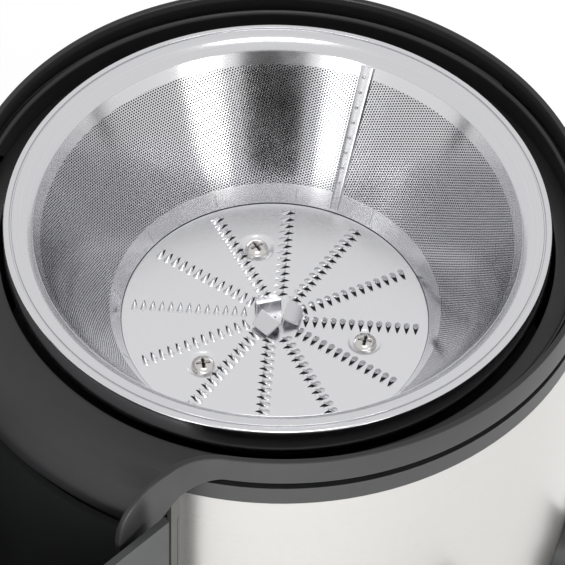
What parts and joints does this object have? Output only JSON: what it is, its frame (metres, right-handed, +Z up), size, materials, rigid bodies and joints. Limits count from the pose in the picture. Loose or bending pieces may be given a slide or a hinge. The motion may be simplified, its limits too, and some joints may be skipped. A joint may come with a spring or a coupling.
{
  "type": "centrifugal juicer",
  "caption": "Electric centrifugal juicer with its lid off: motor base, juice bowl with spout, spinning filter basket with a grating disc, and a docked pulp container.",
  "frame": {"origin": "centre of the bounding box at the underside of the rubber feet", "axes": "+Z up, +X from the pulp container towards the juice spout, +Y towards the side with the cord entry, so the speed knob is on the -Y side"},
  "size_m": [0.354, 0.2288, 0.2424],
  "materials": {
    "basket_steel": "bright, lightly polished",
    "screw_steel": "plain machined",
    "hub_plastic": "fine satin",
    "bowl_plastic": "fine satin, black",
    "body_plastic": "fine grain, black",
    "dock_plastic": "fine grain, dark grey",
    "sleeve_steel": "brushed round the body",
    "container_plastic": "satin, dark grey",
    "clamp_plastic": "satin, black",
    "knob_plastic": "satin, black",
    "rubber": "matt",
    "laminations": "stacked electrical steel",
    "copper": "copper",
    "bracket_metal": "as cast",
    "shaft_steel": "ground",
    "carbon": "pressed carbon",
    "electrics": "moulded",
    "board": "circuit board"
  },
  "bodies": {
    "base": {"back_clamp_bracket": "clamp_plastic", "back_clamp_pin": "screw_steel", "board_brackets": "electrics", "bottom_cover": "body_plastic", "bowl_gasket": "rubber", "brush_holders": "electrics", "carbon_brushes": "carbon", "control_board": "board", "cord_clamp": "electrics", "cord_inlet": "rubber", "cover_screws": "screw_steel", "dial_ring": "knob_plastic", "dock_panel": "dock_plastic", "field_coils": "copper", "front_clamp_bracket": "clamp_plastic", "front_clamp_pin": "screw_steel", "housing": "body_plastic", "housing_collar": "body_plastic", "interlock_switch": "electrics", "lower_bearing": "shaft_steel", "lower_bracket": "bracket_metal", "motor_bolts": "screw_steel", "motor_mounts": "rubber", "motor_spacers": "shaft_steel", "motor_stator": "laminations", "plinth": "body_plastic", "rubber_feet": "rubber", "shaft_seal": "rubber", "speed_switch": "electrics", "steel_sleeve": "sleeve_steel", "upper_bearing": "shaft_steel", "upper_bracket": "bracket_metal"},
    "rotor": {"motor_shaft": "shaft_steel", "armature_core": "laminations", "armature_windings": "copper", "commutator": "copper", "cooling_fan": "electrics", "drive_coupling": "hub_plastic"},
    "basket": {"basket_rim": "basket_steel", "basket_mesh": "basket_steel", "basket_hub": "hub_plastic", "cutting_disc": "basket_steel", "disc_screws": "screw_steel"},
    "bowl": {"juice_bowl": "bowl_plastic", "juice_spout": "bowl_plastic"},
    "container": {"pulp_container": "container_plastic"},
    "knob": {"speed_knob": "knob_plastic"},
    "front_arm": {"front_clamp": "clamp_plastic"},
    "back_arm": {"back_clamp": "clamp_plastic"}
  },
  "joints": [
    {"name": "motor_spin", "type": "hinge", "parent": "base", "child": "rotor", "pos_m": [0.047, 0, 0.1], "axis": [0, 0, 1], "continuous": true},
    {"name": "basket_lift", "type": "slide", "parent": "rotor", "child": "basket", "axis": [0, 0, 1], "range_m": [0, 0.11]},
    {"name": "bowl_lift", "type": "slide", "parent": "base", "child": "bowl", "axis": [0, 0, 1], "range_m": [0, 0.05]},
    {"name": "container_slide", "type": "slide", "parent": "base", "child": "container", "axis": [-1, 0, 0], "range_m": [0, 0.16]},
    {"name": "knob_turn", "type": "hinge", "parent": "base", "child": "knob", "pos_m": [0.11658, -0.06958, 0.096], "axis": [0.7071, -0.7071, 0], "range_deg": [0, 90]},
    {"name": "front_clamp_swing", "type": "hinge", "parent": "base", "child": "front_arm", "pos_m": [0.047, -0.104, 0.154], "axis": [-1, 0, 0], "range_deg": [0, 180]},
    {"name": "back_clamp_swing", "type": "hinge", "parent": "base", "child": "back_arm", "pos_m": [0.047, 0.104, 0.154], "axis": [1, 0, 0], "range_deg": [0, 180]}
  ],
  "couplings": [
    {"joint": "bowl_lift", "follows": "basket_lift", "ratio": 0.45}
  ]
}
